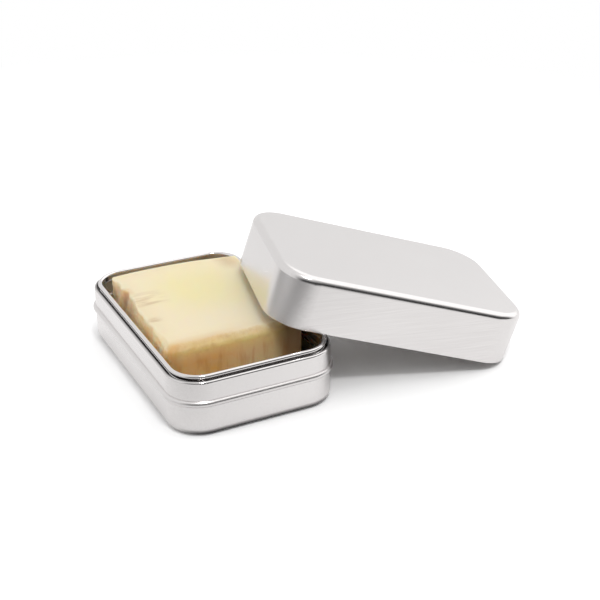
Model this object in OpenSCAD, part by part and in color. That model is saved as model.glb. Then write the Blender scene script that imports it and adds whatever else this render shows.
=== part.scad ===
// Slip-lid soap tin: a deep-drawn aluminium tray with a rolled stop bead and
// an outward curled rim over a groove, its lid taken off and leaning on one
// corner of that rim, and the bar of soap that the tin holds.
// The origin is the centre of the tray's underside, X runs along its length.

/* [Tin] */
// Length of the tray outside its neck
tin_length = 92.4; // [80:0.2:120]
// Width of the tray outside its neck
tin_width = 60; // [54:0.5:80]
// Radius of the upright corners outside the neck
corner_r = 12.2; // [9:0.1:16]
// Thickness of the aluminium sheet
sheet_t = 0.4; // [0.3:0.05:0.5]

/* [Tray] */
// Height of the tray to the top of its rim
tray_h = 22; // [20:0.5:26]
// Height of the middle of the stop bead
bead_z = 12.3; // [10:0.1:14]
// Height of the stop bead where it leaves the wall
bead_h = 2.3; // [1.8:0.1:3]
// How far the stop bead stands out from the wall
bead_proud = 0.95; // [0.6:0.05:1.1]
// Outer diameter of the curled rim
curl_d = 1.6; // [1.3:0.05:2]
// How far the curl is set in from the neck
curl_in = 1.48; // [1.4:0.02:1.8]
// Slit between the end of the curled sheet and the upright below it
curl_slit = 0.3; // [0.15:0.05:0.35]
// Radius of the neck's rounded shoulder, beside the groove
shoulder_r = 0.7; // [0.6:0.02:0.7]
// How far the shoulder's top lies below the rim's top
shoulder_drop = 1.55; // [1.4:0.05:2]
// Radius of the edge round the underside
foot_r = 2.8; // [1.5:0.1:4]

/* [Lid] */
// Height of the lid
lid_h = 19.4; // [16:0.1:24]
// Radius of the edge round the lid's top
lid_edge_r = 2.4; // [1.5:0.1:4]
// Height of the hem folded inside the lid's lower edge
hem_h = 1.6; // [1.2:0.1:2.4]
// Clearance between the closed lid's hem and the neck, each side
slip_gap = 0.18; // [0.1:0.02:0.3]

/* [Leaning lid] */
// Turn of the leaning lid away from square across the tray
lid_turn = 13; // [8:0.5:18]
// Where round the tray's corner the lid's near side leans on the rim
rest_angle = 67; // [50:1:80]
// How far the lid's high end reaches past the point where it leans
overhang = 19.9; // [16:0.1:30]
// Clearance above the rim at that point
lean_gap = 0.6; // [0.4:0.05:1]

/* [Soap] */
// Thickness of the bar of soap
soap_h = 24; // [16:0.5:25]
// Free space between the rim and the bar's left end, before it is turned
left_gap = 10.1; // [4:0.1:16]
// Free space between the rim and the bar's right end
right_gap = 15.4; // [8:0.1:24]
// Free space between the rim and the bar's rough front side
front_gap = 1.8; // [1.5:0.1:4]
// Free space between the rim and the bar's back side
back_gap = 1.9; // [1.5:0.1:8]
// Turn of the bar in the tray
soap_turn = 2; // [0:0.5:2.5]
// Radius of the bar's upright corners
soap_corner_r = 2; // [2:0.1:6]
// Radius of the bar's upper and lower edges
soap_edge_r = 1; // [0.6:0.1:1.8]
// Deepest of the hollows in the bar's rough side
hollow_depth = 1.4; // [0.6:0.1:2]

/* [Hidden] */
$fn = 96;
// Straight runs between the corner axes, shared by tray and lid
run_x = tin_length - 2 * corner_r;
run_y = tin_width - 2 * corner_r;
// Stop bead: the arc through the wall at the bead's two edges
bead_r = (pow(bead_h / 2, 2) + pow(bead_proud, 2)) / (2 * bead_proud);
bead_c = corner_r + bead_proud - bead_r;
// Curl: the centre of its section, and its upright's inner face
curl_r = curl_d / 2;
curl_c = corner_r - curl_in - curl_r;
curl_z = tray_h - curl_r;
upright_c = curl_c - curl_r;
// Shoulder: the centre of its section
shoulder_c = corner_r - shoulder_r;
shoulder_z = tray_h - shoulder_drop - shoulder_r;
// Groove from the shoulder to the upright: the centre and radius of its trough
groove_r = (shoulder_c - shoulder_r + sheet_t - upright_c) / 2;
groove_c = upright_c + groove_r;
// Lid: its corners share the neck's axes
lid_out = slip_gap + 2 * sheet_t;
lid_r = corner_r + lid_out;
lid_half_x = tin_length / 2 + lid_out;
lid_half_y = tin_width / 2 + lid_out;
// Leaning lid: slope_dir points uphill along it, side_dir across it toward
// the side that leans on the rim
slope_yaw = -90 - lid_turn;
slope_dir = [cos(slope_yaw), sin(slope_yaw)];
side_dir = [-sin(slope_yaw), cos(slope_yaw)];
// Its tilt lifts the lower edge over the rim, overhang short of the high end
rest_at = [run_x / 2, run_y / 2] + curl_c * [cos(rest_angle), sin(rest_angle)];
lid_tilt = asin((tray_h + lean_gap) / (2 * lid_half_x - overhang));
lid_at = rest_at + (overhang - lid_half_x) * cos(lid_tilt) * slope_dir
    - lid_half_y * side_dir;
// Height of the lower edge's centre, with the round hem on the ground
lid_z = sheet_t * (1 - cos(lid_tilt)) + (lid_half_x - sheet_t) * sin(lid_tilt);
// Soap: the bar lies between the inner edges of the rim
rim_half_x = run_x / 2 + upright_c;
rim_half_y = run_y / 2 + upright_c;
soap_length = 2 * rim_half_x - left_gap - right_gap;
soap_width = 2 * rim_half_y - front_gap - back_gap;
soap_x = (left_gap - right_gap) / 2;
soap_y = (front_gap - back_gap) / 2;
// Hollows in the soap's rough side: place along it, radius and depth as
// shares of the half length, of the bar's thickness and of hollow_depth
hollow_shares = [
    [-0.80, 0.26, 0.7], [-0.52, 0.30, 1.0], [-0.20, 0.34, 0.8],
    [0.12, 0.26, 0.9], [0.42, 0.30, 0.6], [0.74, 0.24, 0.8]
];

// A section swept round a rounded rectangle. The section is drawn with its
// x axis outward from a corner's axis and its y axis upward.
module round_sweep(straight_x, straight_y) {
    for (side = [0, 1]) {
        rotate(side * 180) {
            translate([straight_x / 2, straight_y / 2])
                rotate_extrude(angle = 90) children();
            translate([-straight_x / 2, straight_y / 2])
                rotate(90) rotate_extrude(angle = 90) children();
            translate([straight_x / 2, straight_y / 2])
                rotate([90, 0, 0]) linear_extrude(straight_y) children();
            translate([-straight_x / 2, straight_y / 2])
                rotate([90, 0, 90]) linear_extrude(straight_x) children();
        }
    }
}

// Middle of a panel, between the four corner axes
module panel(z, thick) {
    translate([-run_x / 2, -run_y / 2, z]) cube([run_x, run_y, thick]);
}

// Quarter ring that joins a panel to a wall, centred on the bend's axis
module bend_section(r) {
    intersection() {
        sheet_ring(r);
        square(r);
    }
}

// Wall, floor and bottom bend of the tray in section
module tray_wall_section() {
    square([corner_r - foot_r, sheet_t]);
    translate([corner_r - foot_r, foot_r]) mirror([0, 1]) bend_section(foot_r);
    difference() {
        union() {
            translate([corner_r - sheet_t, foot_r])
                square([sheet_t, shoulder_z - foot_r]);
            intersection() {
                translate([bead_c, bead_z]) circle(bead_r);
                translate([corner_r - sheet_t, bead_z - bead_r])
                    square(2 * bead_r);
            }
        }
        translate([bead_c, bead_z]) circle(bead_r - sheet_t);
    }
}

// Ring of sheet with the outer radius r
module sheet_ring(r) {
    difference() {
        circle(r);
        circle(r - sheet_t);
    }
}

// Rim in section: the shoulder, the trough of the groove, the upright on its
// inner side and the curl on top, open by the slit beside the upright
module rim_section() {
    translate([shoulder_c, shoulder_z])
        intersection() {
            sheet_ring(shoulder_r);
            translate([-shoulder_r, 0]) square(2 * shoulder_r);
        }
    translate([groove_c, shoulder_z])
        intersection() {
            sheet_ring(groove_r);
            translate([-groove_r, -2 * groove_r]) square(2 * groove_r);
        }
    translate([upright_c, shoulder_z]) square([sheet_t, curl_z - shoulder_z]);
    difference() {
        translate([curl_c, curl_z]) sheet_ring(curl_r);
        translate([upright_c + sheet_t, curl_z - curl_d])
            square([curl_slit, curl_d]);
    }
}

module base_tray() {
    color("gainsboro") {
        panel(0, sheet_t);
        round_sweep(run_x, run_y) {
            union() {
                tray_wall_section();
                rim_section();
            }
        }
    }
}

// Top, bend, wall and inside hem of the lid in section
module lid_section() {
    translate([0, lid_h - sheet_t]) square([lid_r - lid_edge_r, sheet_t]);
    translate([lid_r - lid_edge_r, lid_h - lid_edge_r]) bend_section(lid_edge_r);
    translate([lid_r - sheet_t, sheet_t])
        square([sheet_t, lid_h - lid_edge_r - sheet_t]);
    translate([lid_r - 2 * sheet_t, sheet_t])
        square([2 * sheet_t, hem_h - sheet_t]);
    translate([lid_r - sheet_t, sheet_t]) circle(sheet_t);
}

// The lid leans: its low end stands on the ground behind the tray, and its
// near side crosses the rim at the tray's corner
module lid() {
    color("silver")
        translate([lid_at.x, lid_at.y, lid_z]) rotate(slope_yaw)
            rotate([0, -lid_tilt, 0]) {
                panel(lid_h - sheet_t, sheet_t);
                round_sweep(run_x, run_y) lid_section();
            }
}

// Bar in section from a corner's axis, with its upper and lower edges round
module soap_section() {
    inner = soap_corner_r - soap_edge_r;
    square([inner, soap_h]);
    translate([0, soap_edge_r])
        square([soap_corner_r, soap_h - 2 * soap_edge_r]);
    for (z = [soap_edge_r, soap_h - soap_edge_r])
        translate([inner, z]) circle(soap_edge_r);
}

module soap_bar() {
    soap_run_x = soap_length - 2 * soap_corner_r;
    soap_run_y = soap_width - 2 * soap_corner_r;
    color("wheat")
        translate([soap_x, soap_y, sheet_t]) rotate(-soap_turn)
            difference() {
                union() {
                    round_sweep(soap_run_x, soap_run_y) soap_section();
                    translate([-soap_run_x / 2, -soap_run_y / 2, 0])
                        cube([soap_run_x, soap_run_y, soap_h]);
                }
                for (h = hollow_shares)
                    translate([
                        h[0] * soap_length / 2,
                        h[2] * hollow_depth - soap_width / 2 - h[1] * soap_h,
                        -soap_h / 2
                    ])
                        cylinder(h = 2 * soap_h, r = h[1] * soap_h);
            }
}

base_tray();
lid();
soap_bar();
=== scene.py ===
# %% [markdown]
# # A slip-lid soap tin with its bar of soap
# The tin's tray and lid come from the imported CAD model, which stays as it is.
# This lesson gives them their satin metal, builds the bar of soap as a mesh of
# its own, and lights and frames the whole as a product photograph does. Blender
# measures in metres, but a tin is drawn in millimetres, so `MM` converts them.

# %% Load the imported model
from math import cos, pi, radians, sin

import bpy
import numpy as np
from mathutils import Matrix, Vector


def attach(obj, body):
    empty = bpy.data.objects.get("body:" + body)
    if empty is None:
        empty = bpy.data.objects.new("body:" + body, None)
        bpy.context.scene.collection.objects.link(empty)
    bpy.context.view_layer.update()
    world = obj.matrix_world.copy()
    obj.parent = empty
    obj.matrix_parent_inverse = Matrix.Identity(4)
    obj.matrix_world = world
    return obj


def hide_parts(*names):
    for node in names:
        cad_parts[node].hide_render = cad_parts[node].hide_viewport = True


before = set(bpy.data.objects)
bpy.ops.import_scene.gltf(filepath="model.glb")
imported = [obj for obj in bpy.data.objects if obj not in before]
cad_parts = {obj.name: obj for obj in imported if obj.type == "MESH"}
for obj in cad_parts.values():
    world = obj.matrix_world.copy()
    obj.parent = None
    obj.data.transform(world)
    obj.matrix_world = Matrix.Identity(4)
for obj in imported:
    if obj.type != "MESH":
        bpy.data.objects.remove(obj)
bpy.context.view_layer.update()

MM = 0.001
print("nodes:", sorted(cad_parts))

# %% [markdown]
# ## Camera
# The photograph was taken a little from above, over one corner of the tray. A
# camera could be set by eye, but then every outline would be a little off. Here
# the angles, the distance and the focal length come from fitting a pinhole
# camera to the outlines of tray and lid, so the frame needs no lens shift.

# %% Camera
IMAGE_SIDE = 600
FOCAL_PIXELS = 1238.6
SENSOR_MM = 36.0
CAMERA_AZIMUTH = radians(63.0)
CAMERA_ELEVATION = radians(26.4)
CAMERA_ROLL = radians(0.12)
CAMERA_DISTANCE = 495.4 * MM
CLIP_START = 10 * MM
LOOK_AT = Vector((-30.06, 52.29, 0.0)) * MM


def camera_axes(azimuth, elevation, roll):
    """Right, up and backward unit vectors. Backward leaves -Y by the azimuth
    and rises by the elevation; roll turns right and up about it."""
    back = Vector((sin(azimuth) * cos(elevation),
                   -cos(azimuth) * cos(elevation), sin(elevation)))
    level = Vector((0, 0, 1)).cross(back).normalized()
    upright = back.cross(level)
    right = level * cos(roll) + upright * sin(roll)
    return right, back.cross(right), back


def add_camera():
    """Places the camera on its backward axis, at the distance from LOOK_AT."""
    right, up, back = camera_axes(CAMERA_AZIMUTH, CAMERA_ELEVATION, CAMERA_ROLL)
    data = bpy.data.cameras.new("camera")
    data.sensor_width = SENSOR_MM
    data.lens = FOCAL_PIXELS * SENSOR_MM / IMAGE_SIDE
    data.clip_start = CLIP_START
    camera = bpy.data.objects.new("camera", data)
    eye = LOOK_AT + back * CAMERA_DISTANCE
    camera.matrix_world = Matrix.Translation(eye) @ Matrix(
        (right, up, back)).transposed().to_4x4()
    bpy.context.scene.collection.objects.link(camera)
    bpy.context.scene.camera = camera


add_camera()
print("lens in mm:", round(bpy.context.scene.camera.data.lens, 2))

# %% [markdown]
# ## Writing shaders as sums
# A mask, which says where one finish gives way to another, is arithmetic on the
# place of a point. Its nodes could be wired by hand, but a sum is easier to
# read. `Socket` wraps one output of a node, and its operators add Math nodes.

# %% Sums of sockets
class Socket:
    """One node output. abs and + - * / ** on it give the output of a Math node."""

    def __init__(self, shader, output):
        self.shader, self.output = shader, output

    def math(self, operation, *values, clamp=False):
        return self.shader.node(
            "ShaderNodeMath", {"operation": operation, "use_clamp": clamp}, *values)

    def __add__(self, other):
        return self.math("ADD", self, other)

    def __sub__(self, other):
        return self.math("SUBTRACT", self, other)

    def __rsub__(self, other):
        return self.math("SUBTRACT", other, self)

    def __mul__(self, other):
        return self.math("MULTIPLY", self, other)

    def __truediv__(self, other):
        return self.math("DIVIDE", self, other)

    def __pow__(self, other):
        return self.math("POWER", self, other)

    def __abs__(self):
        return self.math("ABSOLUTE", self)

    __radd__, __rmul__ = __add__, __mul__

    def clamped(self):
        """The nearest value from 0 to 1."""
        return self.math("ADD", self, 0.0, clamp=True)

    def clamped_low(self):
        """The value, or 0 where it is negative."""
        return self.math("MAXIMUM", self, 0.0)

    def above(self, edge, soft):
        """0 below edge - soft, 1 above edge + soft, straight in between."""
        return ((self - (edge - soft)) / (2 * soft)).clamped()

    def below(self, edge, soft):
        """1 below edge - soft, 0 above edge + soft, straight in between."""
        return 1 - self.above(edge, soft)

    def near(self, middle, half, soft):
        """1 within half of the middle, falling to 0 over soft to both sides of
        that distance."""
        return abs(self - middle).below(half, soft)

    def beyond(self, level, gain):
        """How far the value passes the level, times the gain, from 0 to 1."""
        return ((self - level) * gain).clamped()


print("sums of sockets: ready")

# %% [markdown]
# ## A node tree under construction
# Every node comes from one method, `node`, because all of them need the same
# three things: a type, settings, and a value or a link for each socket. The
# other methods are short names for nodes that this lesson uses often.

# %% Node trees
def picked(sockets, key):
    """A socket by its number, or by its identifier with _ for each space."""
    if isinstance(key, int):
        return sockets[key]
    return next(s for s in sockets if s.identifier.replace(" ", "_") == key)


class Shader:
    """A node tree, emptied first."""

    def __init__(self, tree):
        self.tree = tree
        tree.nodes.clear()

    def node(self, kind, settings, *values, out=0, **named):
        """Adds a node, sets it, feeds its sockets values or links, and gives the
        output out, or the node itself where it has none."""
        made = self.tree.nodes.new(kind)
        for key, value in settings.items():
            setattr(made, key, value)
        for key, value in [*enumerate(values), *named.items()]:
            socket = picked(made.inputs, key)
            if isinstance(value, Socket):
                self.tree.links.new(value.output, socket)
            else:
                socket.default_value = value
        return Socket(self, picked(made.outputs, out)) if made.outputs else made

    def mixed(self, mask, low, high):
        """Colour low where the mask is 0, colour high where it is 1."""
        return self.node("ShaderNodeMix", {"data_type": "RGBA"}, mask,
                         A_Color=low, B_Color=high, out="Result_Color")

    def place(self, stretch=(1, 1, 1), turn=0.0):
        """Object coordinates in mm, stretched and turned about Z."""
        at = self.node("ShaderNodeTexCoord", {}, out="Object")
        return self.node("ShaderNodeMapping", {}, at, Rotation=(0, 0, turn),
                         Scale=[share / MM for share in stretch])

    def axis(self, at, name):
        return self.node("ShaderNodeSeparateXYZ", {}, at, out=name)

    def along(self, at, way):
        """How far a place lies along a direction: their dot product."""
        return self.node("ShaderNodeVectorMath", {"operation": "DOT_PRODUCT"}, at, way,
                         out="Value")

    def noise(self, at, cells, detail=2.0, rough=0.5):
        """Cloudy values round 0.5, with so many cells to the unit of at."""
        return self.node("ShaderNodeTexNoise", {}, Vector=at, Scale=cells,
                         Detail=detail, Roughness=rough)

    def ray(self, kind):
        """1 for rays of this kind, 0 for the others."""
        return self.node("ShaderNodeLightPath", {}, out=kind)


print("node trees: ready")

# %% Materials and colours
def new_material(name):
    material = bpy.data.materials.new(name)
    material.use_nodes = True
    return material, Shader(material.node_tree)


def surface(shader, **sockets):
    """Principled surface, with its sockets named with _ for a space."""
    bsdf = shader.node("ShaderNodeBsdfPrincipled", {}, **sockets)
    shader.node("ShaderNodeOutputMaterial", {}, bsdf)


def linear(*srgb):
    """A colour written in screen values from 0 to 255, as light, with alpha 1.
    This is the standard screen curve: a power of 2.4, straight near black."""
    share = np.array(srgb) / 255
    light = np.where(share > 0.04045, ((share + 0.055) / 1.055) ** 2.4, share / 12.92)
    return (*[float(v) for v in light], 1.0)


print("middle grey as light:", round(linear(128, 128, 128)[0], 3))

# %% [markdown]
# ## Satin aluminium
# Drawn aluminium sheet is pale, slightly warm and neither mirror nor matt. A
# picture of brushed metal could be wrapped round it, but that smears at round
# corners, so the finish is worked out from each point's place instead. The sheet
# keeps the fine grain of its rolling, which runs along the tin and makes colour,
# roughness and a faint bump vary together.

# %% Metal of one sheet
SHEET_COLOUR = linear(226, 223, 222)
GRAIN_COLOUR = linear(217, 213, 212)
GROOVE_COLOUR = linear(50, 47, 44)
SHEET_ROUGH = 0.22
BURNISHED_ROUGH = 0.12
DULL_ROUGHER = 0.1
# Cells to the mm, along the grain and across it, and of the cloudy stain
GRAIN_CELLS = (0.06, 2.6, 2.6)
CLOUD_CELLS = 0.06
GRAIN_ROUGH, CLOUD_ROUGH = 0.06, 0.05
GRAIN_LEVEL, GRAIN_GAIN = 0.35, 1.6
GRAIN_BUMP, GRAIN_DEPTH = 0.06, 0.02 * MM


def aluminium(name, grain_turn, worked):
    """Sheet metal with its grain along the turned X axis. worked(shader) gives
    three masks: where the tool has rubbed the metal smooth, where it is duller,
    and where a groove is too narrow for light."""
    material, shader = new_material(name)
    at = shader.place(turn=grain_turn)
    streaks = shader.node("ShaderNodeMapping", {}, at, Scale=GRAIN_CELLS)
    grain = shader.noise(streaks, 1.0, detail=3.0)
    cloud = shader.noise(at, CLOUD_CELLS)
    smooth, dull, hidden = worked(shader)
    colour = shader.mixed((grain - GRAIN_LEVEL) * GRAIN_GAIN * (1 - smooth),
                          SHEET_COLOUR, GRAIN_COLOUR)
    colour = shader.mixed(hidden, colour, GROOVE_COLOUR)
    rough = SHEET_ROUGH + (grain - 0.5) * GRAIN_ROUGH + (cloud - 0.5) * CLOUD_ROUGH
    rough = rough + smooth * (BURNISHED_ROUGH - SHEET_ROUGH) + dull * DULL_ROUGHER
    bump = shader.node("ShaderNodeBump", {}, Strength=GRAIN_BUMP, Distance=GRAIN_DEPTH,
                       Height=grain * (1 - smooth))
    surface(shader, Base_Color=colour, Metallic=1.0, Roughness=rough, Normal=bump)
    return material


print("aluminium: satin at", SHEET_ROUGH, "and burnished at", BURNISHED_ROUGH)

# %% [markdown]
# ## Tray and lid
# The tool has burnished the tray's curled rim, so it mirrors more sharply, and
# has left the stop bead a little duller than the walls. Between the curl and the
# neck's shoulder runs a narrow groove. Light hardly gets into it, and few light
# paths find their way out again, so it is darkened in its colour. All three lie
# at a fixed height and at a fixed distance from the axes of the round corners,
# so masks on these two find them. The tray's ends show the groove more openly.

# %% Tray and lid
# Half the straight lengths between the axes of the round corners, in mm
CORNER_AXES = (34.0, 17.8)
# From here on, a pair is an edge and its softness, in mm unless told otherwise
CURL_FROM = (19.7, 0.2)
BEAD_FROM, BEAD_TO = (11.0, 0.2), (13.6, 0.2)
GROOVE_FROM, GROOVE_TO = (10.4, 0.1), (11.4, 0.5)
GROOVE_LOW, GROOVE_HIGH = (18.0, 0.2), (20.9, 0.25)
LONG_SIDE_FROM = (6, 2)
LONG_SIDE_WIDER = 0.2
GROOVE_AT_ENDS = 0.65
# The leaning lid is this many degrees off square to the tray
LID_TURN = 13


def past_corner_axes(shader, at):
    """How far a place lies past the corner axes along X, along Y and in all:
    what |x| and |y| have over CORNER_AXES, and the root of their squares' sum."""
    over_x, over_y = ((abs(shader.axis(at, name)) - axis).clamped_low()
                      for name, axis in zip("XY", CORNER_AXES))
    return over_x, over_y, (over_x * over_x + over_y * over_y) ** 0.5


def tray_worked(shader):
    """The curled rim and the stop bead, by their heights, and the groove, by its
    distance from the corner axes too."""
    at = shader.place()
    height = shader.axis(at, "Z")
    over_x, over_y, outward = past_corner_axes(shader, at)
    long_side = over_y.above(*LONG_SIDE_FROM)
    wider = long_side * LONG_SIDE_WIDER
    groove = (outward + wider).above(*GROOVE_FROM) * (outward - wider).below(*GROOVE_TO)
    groove = groove * height.above(*GROOVE_LOW) * height.below(*GROOVE_HIGH)
    groove = groove * (GROOVE_AT_ENDS + (1 - GROOVE_AT_ENDS) * long_side)
    bead = height.above(*BEAD_FROM) * height.below(*BEAD_TO)
    return height.above(*CURL_FROM), bead, groove


def lid_worked(shader):
    """The lid is drawn in one go: no part of it stands out."""
    return 0.0, 0.0, 0.0


tray_metal = aluminium("tray_aluminium", 0.0, tray_worked)
lid_metal = aluminium("lid_aluminium", radians(LID_TURN - 90), lid_worked)
for node_name, metal in (("base_tray", tray_metal), ("lid", lid_metal)):
    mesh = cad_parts[node_name].data
    mesh.materials.clear()
    mesh.materials.append(metal)
    print(node_name, "wears", metal.name)

# %% [markdown]
# ## Soap block
# The bar is cut from a poured loaf. Its back and both ends are knife cuts, not
# quite square to each other, and its long front side is the loaf's own rough
# top, with hollows and lumps. It could be sculpted, but a formula gives the same
# block each time and can be changed by a number. The first step is a plain grid
# on a box. Its points are whole numbers, so equal corners are easy to join.

# %% Soap grid
SOAP_CELLS = (132, 108, 52)


def box_grid(cells):
    """Whole-number points on the surface of a box, and its squares as point
    numbers. The squares of a side are wound outward, and equal corners become
    one point, so the six sides are joined at the edges."""
    sides = []
    for axis in range(3):
        first, second = (axis + 1) % 3, (axis + 2) % 3
        u, v = (g.ravel() for g in np.meshgrid(
            np.arange(cells[first]), np.arange(cells[second]), indexing="ij"))
        for far in (0, 1):
            ring = ((0, 0), (1, 0), (1, 1), (0, 1)) if far else ((0, 0), (0, 1), (1, 1), (1, 0))
            corners = np.empty((u.size, 4, 3), int)
            corners[:, :, axis] = far * cells[axis]
            for place, (du, dv) in enumerate(ring):
                corners[:, place, first] = u + du
                corners[:, place, second] = v + dv
            sides.append(corners)
    corners = np.concatenate(sides)
    points, numbers = np.unique(corners.reshape(-1, 3), axis=0, return_inverse=True)
    return points, numbers.reshape(-1, 4)


grid_points, grid_faces = box_grid(SOAP_CELLS)
print("grid:", len(grid_points), "points,", len(grid_faces), "squares")

# %% Soap block with rounded edges
SOAP_HALF = np.array([30.3, 25.0, 12.0])
# The lines of the grid are spread evenly in this share, and by a sine in the rest
EVEN_SHARE = 0.6
# Radii of the knife's edges and of the worn edges at the right end
SHARP_EDGE, WORN_EDGE = 0.7, 3.2
WORN_FROM = 10


def ramp(value, low, high):
    """0 below low, 1 above high, with a smooth step in between: 3t^2 - 2t^3."""
    share = np.clip((value - low) / (high - low), 0, 1)
    return share * share * (3 - 2 * share)


def rounded_block(grid):
    """Grid points on a block of half sizes SOAP_HALF, in mm. Each goes to a box
    with closer lines near its edges, then to the nearest point of an inner block
    plus the edge radius outward, which rounds the edges."""
    share = grid / np.array(SOAP_CELLS) * 2 - 1
    box = (EVEN_SHARE * share + (1 - EVEN_SHARE) * np.sin(pi / 2 * share)) * SOAP_HALF
    worn = ramp(box[:, 0], WORN_FROM, SOAP_HALF[0])[:, None]
    radius = SHARP_EDGE + (WORN_EDGE - SHARP_EDGE) * worn
    inner = np.clip(box, radius - SOAP_HALF, SOAP_HALF - radius)
    out = box - inner
    out /= np.linalg.norm(out, axis=1, keepdims=True)
    return inner + radius * out


block_mm = rounded_block(grid_points)
print("block in mm:", block_mm.min(0).round(1), block_mm.max(0).round(1))

# %% [markdown]
# ## Soap shape
# Four corner points, read off the photograph, place the block in the tray. Then
# whole arrays of points are moved: the left end bulges, the rough side gets its
# dents, lumps and slope, and the worn edge at the right end sinks a little.
# Lumps come from a few plane waves, which are smooth and the same each time.

# %% Soap shape
SOAP_FLOOR = 0.4
# Left end, then right end, each with its front corner and its back corner
SOAP_CORNERS = np.array([[[-35.1, -23.5], [-32.4, 25.4]],
                         [[27.3, -25.7], [27.1, 24.9]]])
END_BULGE = 1.7
BULGE_SHARES = (-0.3, 1.0)
# Place along the bar, half width and depth inward of each dent
DENTS = ((-30.0, 3.0, 0.2), (-25.0, 2.0, -0.5), (-20.5, 2.6, 0.9), (-14.5, 3.0, 0.5),
         (-6.0, 3.5, -0.3), (2.0, 4.0, -0.4), (8.0, 2.2, 0.4), (13.0, 3.0, -0.3),
         (19.0, 3.0, 0.3))
# A dent leans along the bar by this much for each mm above this height
DENT_LEAN, DENT_HEIGHT = 0.12, 18
# Height, wavelength and seed of the lumps on the rough side
SIDE_LUMPS = ((0.3, 9.0, 3), (0.12, 3.0, 4))
WAVE_COUNT, WAVE_SPREAD = 8, (0.7, 1.4)
SIDE_SLOPE = 1.6
SLOPE_PLACES, SLOPE_HEIGHTS = (-35, -24), (14, 25)
ROUGH_SHARES, TOP_SHARES = (0.86, 1.0), (0.8, 1.0)
TOP_LUMPS, TOP_SINKS = (0.12, 26.0, 5), 0.1
BRINK_SHARES, BRINK_SINKS, BRINK_LUMPS = (0.88, 1.0), 0.35, (1.0, 6.0, 8)
END_SHARES, END_LUMPS = (0.9, 1.0), (0.15, 14.0, 6)


def lumps(points, height, length, seed):
    """Smooth lumps of about the height: the mean of a few plane waves in random
    directions, with wavelengths near the given length, times twice the height."""
    rng = np.random.default_rng(seed)
    ways = rng.normal(size=(WAVE_COUNT, 3))
    ways *= (2 * pi / length * rng.uniform(*WAVE_SPREAD, (WAVE_COUNT, 1))
             / np.linalg.norm(ways, axis=1, keepdims=True))
    phases = rng.uniform(0, 2 * pi, WAVE_COUNT)
    return np.sin(points @ ways.T + phases).mean(axis=1) * 2 * height


def between_corners(along, across):
    """Places between SOAP_CORNERS, as their mean with the weights 1 - along and
    1 + along for the ends and 1 - across and 1 + across for the sides."""
    ends = np.stack([1 - along, 1 + along], axis=1) / 2
    sides = np.stack([1 - across, 1 + across], axis=1) / 2
    return np.einsum("pe,ps,esk->pk", ends, sides, SOAP_CORNERS)


def rough_side(place):
    """How far the rough side lies inward: dents as bell curves along the bar,
    lumps, and a slope that leans its upper part inward past the left end."""
    along = place[:, 0] - DENT_LEAN * (place[:, 2] - DENT_HEIGHT)
    dents = sum(depth * np.exp(-((along - x) / wide) ** 2) for x, wide, depth in DENTS)
    slope = SIDE_SLOPE * ramp(place[:, 0], *SLOPE_PLACES) * (
        ramp(place[:, 2], *SLOPE_HEIGHTS) - 0.5)
    return dents + sum(lumps(place, *lump) for lump in SIDE_LUMPS) + slope


def soap_points(block):
    """Points of the block as places on the bar, in mm. A pair of shares says
    between which shares of a half size a change sets in."""
    along, across, up = (block / SOAP_HALF).T
    flat = between_corners(along, across)
    flat[:, 0] -= END_BULGE * ramp(-along, *BULGE_SHARES) * (1 - across ** 2)
    place = np.column_stack([flat, block[:, 2] + SOAP_HALF[2] + SOAP_FLOOR])
    place[:, 1] += ramp(-across, *ROUGH_SHARES) * rough_side(place)
    top = ramp(up, *TOP_SHARES)
    place[:, 2] += top * (lumps(place, *TOP_LUMPS) - TOP_SINKS)
    brink = top * ramp(along, *BRINK_SHARES)
    place[:, 2] -= brink * BRINK_SINKS * (1 + lumps(place, *BRINK_LUMPS))
    place[:, 0] += ramp(along, *END_SHARES) * lumps(place, *END_LUMPS)
    return place


soap_mm = soap_points(block_mm)
print("soap in mm:", soap_mm.min(0).round(1), soap_mm.max(0).round(1))

# %% [markdown]
# ## Soap colours
# The soap is cream with a butter-yellow heart, and amber to brown marbling
# where the dark batter settled: on the right end and on the rough side. It could
# be painted by hand, but layers of colour, each mixed in by a mask of the place
# in the bar, stay sharp at any size. Three noises, of lumps, veins and specks,
# move the borders of the masks so that they look poured.

# %% Where in the loaf
LUMP_CELLS, VEIN_CELLS, SPECK_CELLS = 0.11, 0.35, 1.1
LUMP_WOBBLE, VEIN_WOBBLE = 6, 3


class Loaf:
    """A point's place in the loaf in mm, and the noises that its colours share."""

    def __init__(self, shader):
        at = shader.place()
        self.x, self.y, self.z = (shader.axis(at, name) for name in "XYZ")
        self.lump = shader.noise(at, LUMP_CELLS, detail=3.0)
        self.vein = shader.noise(at, VEIN_CELLS, detail=4.0, rough=0.6)
        self.speck = shader.noise(at, SPECK_CELLS)
        self.wobble = (self.lump - 0.5) * LUMP_WOBBLE + (self.vein - 0.5) * VEIN_WOBBLE


print("loaf: noises of", *(round(1 / cells, 1) for cells in
                           (LUMP_CELLS, VEIN_CELLS, SPECK_CELLS)), "mm")

# %% Upper side
CREAM = linear(231, 218, 186)
BUTTER = linear(229, 218, 163)
BLUSH = linear(222, 198, 164)
SMEAR = linear(194, 168, 130)
CLAY = linear(206, 158, 112)
BRINK = linear(208, 172, 112)
# How strongly each colour covers the ones before
HEART_SHARE, BLUSH_SHARE, SMEAR_SHARE, CLAY_SHARE, BRINK_SHARE = 0.8, 0.45, 0.6, 0.6, 0.5
# How much of the wobble moves the borders, where it isn't all of it
EDGES_WOBBLE, CLAY_WOBBLE = 0.7, 0.3
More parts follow.
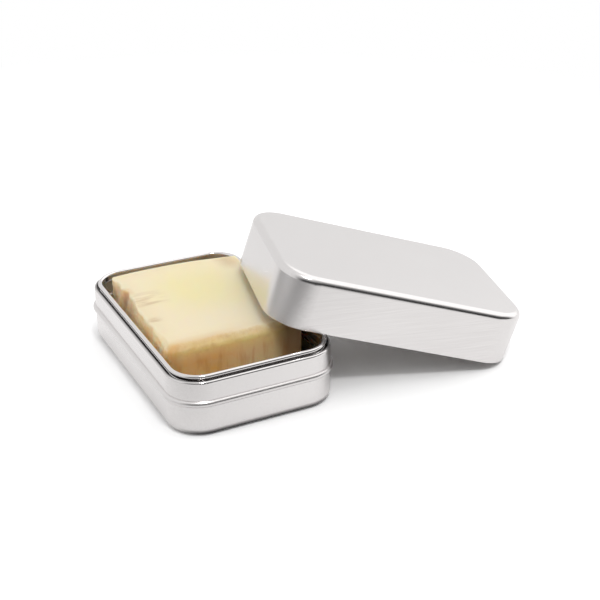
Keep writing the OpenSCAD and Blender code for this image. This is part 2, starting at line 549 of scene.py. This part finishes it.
# Middle, half size and softness of each patch along X, then along Y
HEART = ((-13, 15, 9), (2, 14, 8))
INSIDE_EDGES = ((-5, 27.5, 4), (1, 22, 4))
SMEARS = (((-11.5, 5, 1.5), (-19, 5, 4)), ((5, 2, 1), (-22, 2, 1.5)))
CLAY_SPOT = ((-20.5, 2.6, 1.2), (-23, 1.6, 1.4))
# The back corner by the lid: partly the soap's tan, partly painted shadow of the lid
BACK_CORNER_TAN_AND_SHADE = ((-29, 5, 3), (21, 3.5, 2.5))
# The smears are dragged along Y by the knife
SMEAR_STRETCH, SMEAR_CELLS = (1, 0.18, 1), 0.5
SMEAR_LEVEL, SMEAR_GAIN = 0.42, 5
BRINK_FROM, BRINK_TO = (23.0, 2.0), (-1, 6)


def patch(x, y, spans):
    """A soft-edged rectangle: the product of its spans along X and Y."""
    return x.near(*spans[0]) * y.near(*spans[1])


def upper_side(shader, loaf):
    """Cream, the heart, the blushing edges, smears, a clay spot, a back corner in
    the smear colour, darker partly by painted shadow of the lid, and a browned brink
    at the right end, each over the ones before."""
    x, y, wobble = loaf.x, loaf.y, loaf.wobble
    heart = patch(x + wobble, y + wobble, HEART)
    colour = shader.mixed(heart * HEART_SHARE, CREAM, BUTTER)
    some = wobble * EDGES_WOBBLE
    edges = 1 - patch(x + some, y + some, INSIDE_EDGES)
    colour = shader.mixed(edges * BLUSH_SHARE, colour, BLUSH)
    streak = shader.noise(shader.place(SMEAR_STRETCH), SMEAR_CELLS, detail=3.0)
    smeared = (patch(x, y, SMEARS[0]) + patch(x, y, SMEARS[1])).clamped()
    smeared = (smeared * (streak - SMEAR_LEVEL) * SMEAR_GAIN).clamped()
    colour = shader.mixed(smeared * SMEAR_SHARE, colour, SMEAR)
    clay = patch(x + wobble * CLAY_WOBBLE, y, CLAY_SPOT)
    colour = shader.mixed(clay * CLAY_SHARE, colour, CLAY)
    # Back corner by the lid in the smear colour: tan, and partly painted shadow of the lid
    colour = shader.mixed(patch(x, y, BACK_CORNER_TAN_AND_SHADE) * SMEAR_SHARE, colour, SMEAR)
    brink = x.above(*BRINK_FROM) * (y + wobble).below(*BRINK_TO)
    return shader.mixed(brink * BRINK_SHARE, colour, BRINK)


print("upper side:", 1 + len(SMEARS), "smears")

# %% [markdown]
# ## Right end and rough side
# On the right end the batter shows in layers: a browned brink, a pale olive band
# and, below it, tan to caramel with amber veins and streaks that ran down while
# it set. The rough side is pale and tan with amber specks. Where the two meet, a
# warm brown nose is worn round. The far part of the right end lies under the lid,
# and painted shadow of the lid darkens it to umber.

# %% Right end
OLIVE = linear(250, 232, 168)
TAN = linear(246, 220, 168)
CARAMEL = linear(242, 200, 132)
AMBER = linear(244, 192, 104)
POUR = linear(222, 166, 100)
END_SHARE, OLIVE_SHARE, POUR_SHARE = 0.8, 0.9, 0.5
OLIVE_WOBBLE, BATTER_WOBBLE, CARAMEL_WOBBLE = 0.5, 0.6, 0.8
END_FROM = (25.4, 1.4)
END_VEINS, END_SPECKS = 5, 2
OLIVE_TO, BATTER_TO = (22.6, 1.8), (19.6, 2.4)
OLIVE_VEINS = 4
CARAMEL_TO = (-2, 5)
AMBER_LEVEL, AMBER_GAIN = 0.45, 3
# The streaks are long in Z
POUR_STRETCH, POUR_CELLS = (1, 1, 0.22), 0.42
POUR_LEVEL, POUR_GAIN = 0.5, 6


def batter(shader, loaf):
    """The dark batter: tan at the back, caramel with amber veins at the front,
    and streaks down it."""
    front = (loaf.y + loaf.wobble * CARAMEL_WOBBLE).below(*CARAMEL_TO)
    colour = shader.mixed(front, TAN, CARAMEL)
    colour = shader.mixed(loaf.vein.beyond(AMBER_LEVEL, AMBER_GAIN) * front, colour, AMBER)
    pour = shader.noise(shader.place(POUR_STRETCH), POUR_CELLS, detail=3.0)
    return shader.mixed(pour.beyond(POUR_LEVEL, POUR_GAIN) * POUR_SHARE, colour, POUR)


def right_end(shader, loaf, colour):
    """The brink's brown over the whole end, olive below it and batter lowest."""
    x = loaf.x + (loaf.vein - 0.5) * END_VEINS + (loaf.speck - 0.5) * END_SPECKS
    end = x.above(*END_FROM)
    z = loaf.z + loaf.wobble * OLIVE_WOBBLE + (loaf.vein - 0.5) * OLIVE_VEINS
    colour = shader.mixed(end * END_SHARE, colour, BRINK)
    colour = shader.mixed(end * z.below(*OLIVE_TO) * OLIVE_SHARE, colour, OLIVE)
    deep = (loaf.z + loaf.wobble * BATTER_WOBBLE).below(*BATTER_TO)
    return shader.mixed(end * deep, colour, batter(shader, loaf))


print("right end: batter up to", BATTER_TO[0], "mm")

# %% Rough side, nose and painted lid shadow
SIDE_PALE = linear(252, 238, 200)
SIDE_TAN = linear(246, 210, 154)
NOSE = linear(214, 166, 102)
# Umber is painted shadow that the lid casts on the far part of the right end
LID_SHADOW_UMBER = linear(128, 84, 46)
SPECK_SHARE, NOSE_SHARE, LID_SHADOW_SHARE = 0.7, 0.75, 0.7
SIDE_WOBBLE, TOP_WOBBLE, NOSE_WOBBLE = 0.12, 0.3, 0.3
SIDE_TO, SIDE_TOP = (-23.8, 0.8), (23.0, 1.2)
PALE_LEVEL, PALE_GAIN = 0.35, 3.2
SPECK_LEVEL, SPECK_GAIN = 0.5, 5
NOSE_FROM, NOSE_TO = (24.0, 1.5), (-22, 2.0)
# The painted lid shadow starts here along X and reaches back from here along Y
LID_SHADOW_FROM, LID_SHADOW_BACK = (26.0, 0.5), (15.5, 3.0)


def rough_side_colours(shader, loaf, colour):
    """Tan and pale by the veins, with amber specks, below the upper edge."""
    side = (loaf.y + loaf.wobble * SIDE_WOBBLE).below(*SIDE_TO)
    low = (loaf.z + loaf.wobble * TOP_WOBBLE).below(*SIDE_TOP)
    rough = shader.mixed(loaf.vein.beyond(PALE_LEVEL, PALE_GAIN), SIDE_TAN, SIDE_PALE)
    specks = loaf.speck.beyond(SPECK_LEVEL, SPECK_GAIN)
    rough = shader.mixed(specks * SPECK_SHARE, rough, AMBER)
    return shader.mixed(side * low, colour, rough)


def nose_and_lid_shadow(shader, loaf, colour):
    """Brown on the front edge of the right end, and painted shadow of the lid, in umber, on its
    far part.
    """
    front = (loaf.y + loaf.wobble * NOSE_WOBBLE).below(*NOSE_TO)
    nose = loaf.x.above(*NOSE_FROM) * front
    colour = shader.mixed(nose * NOSE_SHARE, colour, NOSE)
    # Painted shadow of the lid: umber over the far part of the right end
    lid_shadow = loaf.x.above(*LID_SHADOW_FROM) * loaf.y.above(*LID_SHADOW_BACK)
    return shader.mixed(lid_shadow * LID_SHADOW_SHARE, colour, LID_SHADOW_UMBER)


print("rough side: up to", SIDE_TOP[0], "mm")

# %% [markdown]
# ## Soap on its block
# Light enters waxy soap a little way and comes out beside where it went in. This
# could be left out, but then the shaded sides would look like painted wood, so
# the surface scatters light below itself, red the farthest. The finished mesh
# takes the place of the plain CAD bar and rides the body of the soap.

# %% Soap
SOAP_ROUGH = 0.5
SCATTER_DEPTH = 8.0 * MM
SCATTER_SHARES = (1.0, 0.7, 0.4)
SOAP_BUMP, SOAP_DEPTH, SPECK_HEIGHT = 0.35, 0.15 * MM, 0.4


def soap_material():
    """The colours above, the veins and specks as a slight bump, and scattering."""
    material, shader = new_material("soap")
    loaf = Loaf(shader)
    colour = upper_side(shader, loaf)
    for layer in (right_end, rough_side_colours, nose_and_lid_shadow):
        colour = layer(shader, loaf, colour)
    bump = shader.node("ShaderNodeBump", {}, Strength=SOAP_BUMP, Distance=SOAP_DEPTH,
                       Height=loaf.vein + loaf.speck * SPECK_HEIGHT)
    surface(shader, Base_Color=colour, Roughness=SOAP_ROUGH, Normal=bump,
            Subsurface_Weight=1.0, Subsurface_Radius=SCATTER_SHARES,
            Subsurface_Scale=SCATTER_DEPTH)
    return material


def add_mesh(name, points, faces, material):
    """A smooth-shaded object at the origin from an array of points in metres."""
    mesh = bpy.data.meshes.new(name)
    mesh.from_pydata(points.tolist(), [], faces.tolist())
    mesh.polygons.foreach_set("use_smooth", np.ones(len(faces), bool))
    mesh.materials.append(material)
    made = bpy.data.objects.new(name, mesh)
    bpy.context.scene.collection.objects.link(made)
    return made


soap = add_mesh("soap_block", soap_mm * MM, grid_faces, soap_material())
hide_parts("soap_bar")
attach(soap, "soap")
print("soap:", len(soap.data.polygons), "faces")

# %% [markdown]
# ## Floor
# The tin stands on a seamless white sweep. Enough light to turn real paper white
# would also burn out the pale metal, so the floor is one square that asks the
# Light Path node who is looking. A camera ray sees it white, with the shadow of
# the tin. A glossy ray, which makes a reflection, sees a bright and even floor
# from a little way off, and close to the tray and under the lid the real one, in
# their shade. Where the floor meets the tray's ends, reflections see it darkened
# further by painted contact shade. Rays that light other things see it as it is.
# Far away it glows evenly, so that its edge never shows.

# %% Floor
FLOOR_SIDE = 4.0
FLOOR_COLOUR = linear(215, 215, 215)
WHITE, BLACK = (1.0, 1.0, 1.0, 1.0), (0.0, 0.0, 0.0, 1.0)
SEEN_FLOOR = (1.15, 1.15, 1.15, 1.0)
# Places on the floor where something changes, each an edge and its softness
FAR_FROM = (300, 120)
FRONT_FROM, LEFT_TO = (100, 80), (-100, 30)
GLOW_FROM, CONTACT_SHADE_TO = (16.5, 3), (13.6, 1.6)
TRAY_END_FROM = (8, 3)
LID_SHADE_FROM, LID_SHADE_TO = (30, 6), (52, 8)
FRONT_WAY = (0.6, -0.8, 0)
# Reflections show the floor with this glow, dimmer in front and at the left,
# and darkened by painted contact shade where it meets the tray's ends
GLOW_SHARE, GLOW_LIGHT = 0.85, 1.05
FRONT_DIM, LEFT_DIM, CONTACT_SHADE_DIM = 0.6, 0.1, 0.7


def floor_masks(shader):
    """Where a reflection shows the floor's glow, the painted shade of its contact with
    the tray's ends, its front, its left side and its far part."""
    at = shader.place()
    x, y = shader.axis(at, "X"), shader.axis(at, "Y")
    over_x, over_y, outward = past_corner_axes(shader, at)
    under_lid = y.above(*LID_SHADE_FROM) * x.below(*LID_SHADE_TO)
    glow = outward.above(*GLOW_FROM) * (1 - under_lid)
    # Painted contact shade: reflections see the floor darker where it meets the tray's ends
    contact_shade = outward.below(*CONTACT_SHADE_TO) * over_x.above(*TRAY_END_FROM)
    front = shader.along(at, FRONT_WAY).above(*FRONT_FROM)
    away = shader.node("ShaderNodeVectorMath", {"operation": "LENGTH"}, at, out="Value")
    return glow, contact_shade, front, x.below(*LEFT_TO), away.above(*FAR_FROM)


def floor_material():
    """Two mixes: near the tin a matt floor, which glossy rays see dimmer in front and
    with painted contact shade by the tray's ends, and, for glossy rays, its glow;
    far from it, for every ray that makes a picture, a glow alone."""
    material, shader = new_material("white_sweep")
    seen, glossy, glass = (shader.ray(kind) for kind in (
        "Is_Camera_Ray", "Is_Glossy_Ray", "Is_Transmission_Ray"))
    glow, contact_shade, front, left, far = floor_masks(shader)
    # For glossy rays the floor colour is dimmed in front and darkened by painted contact shade
    mirrored = shader.mixed((front * FRONT_DIM + contact_shade * CONTACT_SHADE_DIM).clamped(),
                            WHITE, BLACK)
    colour = shader.mixed(glossy, FLOOR_COLOUR, mirrored)
    colour = shader.mixed((seen + glass).clamped(), colour, SEEN_FLOOR)
    matt = shader.node("ShaderNodeBsdfDiffuse", {}, Color=colour)
    light = 1 - glossy * (front * FRONT_DIM + left * LEFT_DIM)
    near_glow, far_glow = (shader.node("ShaderNodeEmission", {}, WHITE, light * strength)
                           for strength in (GLOW_LIGHT, 1.0))
    near = shader.node("ShaderNodeMixShader", {}, glossy * glow * GLOW_SHARE, matt, near_glow)
    pictured = (seen + glossy + glass).clamped()
    both = shader.node("ShaderNodeMixShader", {}, far * pictured, near, far_glow)
    shader.node("ShaderNodeOutputMaterial", {}, both)
    return material


def add_floor():
    """One square, facing up, at the height that the tin stands on."""
    half = FLOOR_SIDE / 2
    square = np.array([(-half, -half, 0), (half, -half, 0), (half, half, 0), (-half, half, 0)])
    floor = add_mesh("floor", square, np.array([(0, 1, 2, 3)]), floor_material())


add_floor()
print("floor:", FLOOR_SIDE, "m square")

# %% [markdown]
# ## Light
# Polished metal shows its surroundings, so these matter more than the lamp. The
# photograph's metal tells what stood there: pale walls all round, a bright
# screen high at the back, and on the side of the tray's free end, where the
# camera stands, a dimmer ceiling over darkness, which draws the dark lines along
# the rounded edges. Panels could be built for all this, but the world does it
# with masks on the direction that a ray goes. The camera itself sees a plain
# white room. One small soft box high up gives the shadow its soft edge.

# %% Soft box
LAMP_WAY = Vector((0.41, -0.03, 0.91))
LAMP_DISTANCE = 1.1
LAMP_SIDE = 0.16
LAMP_WATTS = 2.6


def add_lamp():
    """A square soft box, turned toward the tin."""
    data = bpy.data.lights.new("soft_box", "AREA")
    data.shape, data.size, data.energy = "SQUARE", LAMP_SIDE, LAMP_WATTS
    lamp = bpy.data.objects.new("soft_box", data)
    lamp.location = LAMP_WAY.normalized() * LAMP_DISTANCE
    lamp.rotation_euler = LAMP_WAY.to_track_quat("Z", "Y").to_euler()
    bpy.context.scene.collection.objects.link(lamp)


add_lamp()
print("soft box:", LAMP_WATTS, "W")

# %% Room
WALL_LIGHT = 0.91
BACK_LIGHT = 1.4
# The ceiling's light in reflections, and what it gives to all other surfaces
CEILING_SEEN, CEILING_FILL = 0.5, 0.75
CAMERA_LIGHT = 1.2
DARKNESS = 0.93
BACK_WAY = (-0.1, 0.75, 0.65)
FREE_END_WAY = (0.995, 0.1, 0)
# Edge and softness of each region, as a share of its unit direction
BACK_FROM = (0.77, 0.05)
CEILING_FROM, CEILING_TO = (0.3, 0.2), (0.82, 0.1)
DARK_FROM, DARK_TO = (0.4, 0.2), (0.5, 0.12)


def add_room():
    """The world's strength: walls, with the ceiling, the screen, the darkness
    and the camera's own white each laid over the ones before."""
    world = bpy.data.worlds.new("room")
    bpy.context.scene.world = world
    world.use_nodes = True
    shader = Shader(world.node_tree)
    way = shader.node("ShaderNodeTexCoord", {}, out="Generated")
    rise = shader.axis(way, "Z")
    toward, back = (shader.along(way, there) for there in (FREE_END_WAY, BACK_WAY))
    glossy, seen = shader.ray("Is_Glossy_Ray"), shader.ray("Is_Camera_Ray")
    ceiling = CEILING_FILL + glossy * (CEILING_SEEN - CEILING_FILL)
    over = toward.above(*CEILING_FROM) * rise.below(*CEILING_TO)
    strength = WALL_LIGHT + over * (ceiling - WALL_LIGHT)
    strength = strength + back.above(*BACK_FROM) * (BACK_LIGHT - strength)
    dark = rise.below(*DARK_TO) * toward.above(*DARK_FROM)
    strength = strength * (1 - DARKNESS * dark)
    strength = strength + seen * (CAMERA_LIGHT - strength)
    light = shader.node("ShaderNodeBackground", {}, WHITE, strength)
    shader.node("ShaderNodeOutputWorld", {}, light)


add_room()
bpy.context.scene.view_settings.view_transform = "Standard"
print("room: walls at", WALL_LIGHT)
